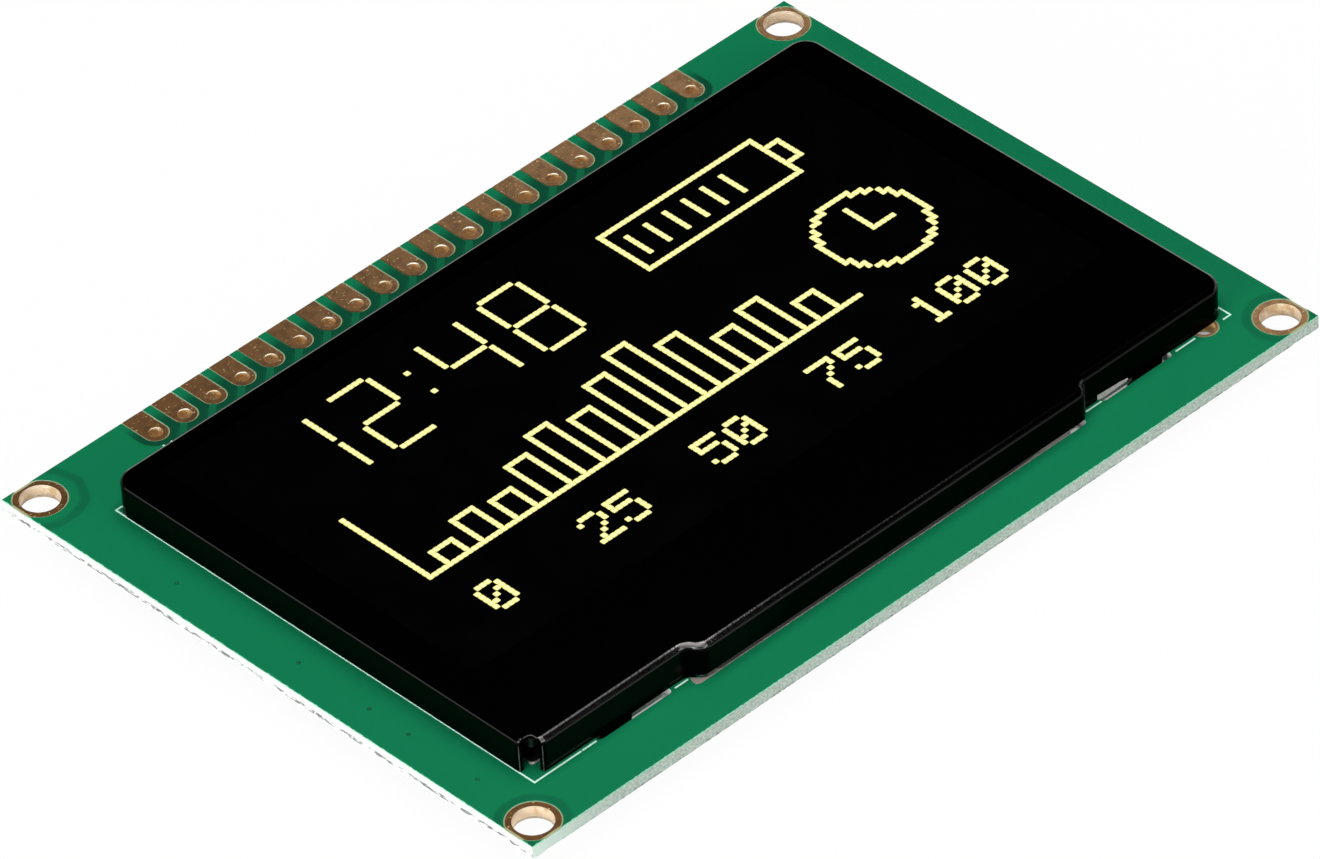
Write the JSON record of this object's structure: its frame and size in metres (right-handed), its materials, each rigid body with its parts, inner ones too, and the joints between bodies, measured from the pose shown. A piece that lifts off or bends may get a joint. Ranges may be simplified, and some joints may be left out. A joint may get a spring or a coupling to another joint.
{
  "type": "display module",
  "caption": "Flat graphic display module: a dark glass panel in a folded black bezel on a green circuit board, with a row of plated header holes and a plated hole in each corner.",
  "frame": {"origin": "centre of the circuit board's rear face, which is also the centre of the four corner holes", "axes": "+X along the header row, +Y towards the header row, +Z out of the lit face"},
  "size_m": [0.0706, 0.0494, 0.0052],
  "materials": {
    "solder_mask": "satin green mask on glass-fibre laminate",
    "gold_plating": "thin gold over copper",
    "black_sheet": "fine satin black",
    "polarizing_film": "dark anti-glare film",
    "panel_glass": "polished",
    "foam_tape": "matt white",
    "bare_chip": "polished silicon",
    "flex_film": "amber film",
    "solder": "bright solder and tinned metal",
    "ferrite": "matt dark grey",
    "moulded_case": "matt black moulding",
    "capacitor_ceramic": "smooth tan",
    "resistor_coat": "glossy black glaze"
  },
  "bodies": {
    "root": {"circuit_board": "solder_mask", "corner_hole_lands": "gold_plating", "board_pads": "gold_plating", "ground_hole_lining": "gold_plating", "bezel_frame": "black_sheet", "polarizer": "polarizing_film", "front_glass": "panel_glass", "rear_glass": "panel_glass", "panel_tape": "foam_tape", "driver_chip": "bare_chip", "flex_tail": "flex_film", "flex_joints": "solder", "inductor_core": "ferrite", "inductor_terminals": "solder", "converter_body": "moulded_case", "converter_leads": "solder", "diode_body": "moulded_case", "diode_leads": "solder", "regulator_body": "moulded_case", "regulator_leads": "solder", "reservoir_bodies": "capacitor_ceramic", "reservoir_ends": "solder", "bypass_bodies": "capacitor_ceramic", "bypass_ends": "solder", "resistor_bodies": "resistor_coat", "resistor_ends": "solder"}
  },
  "joints": []
}
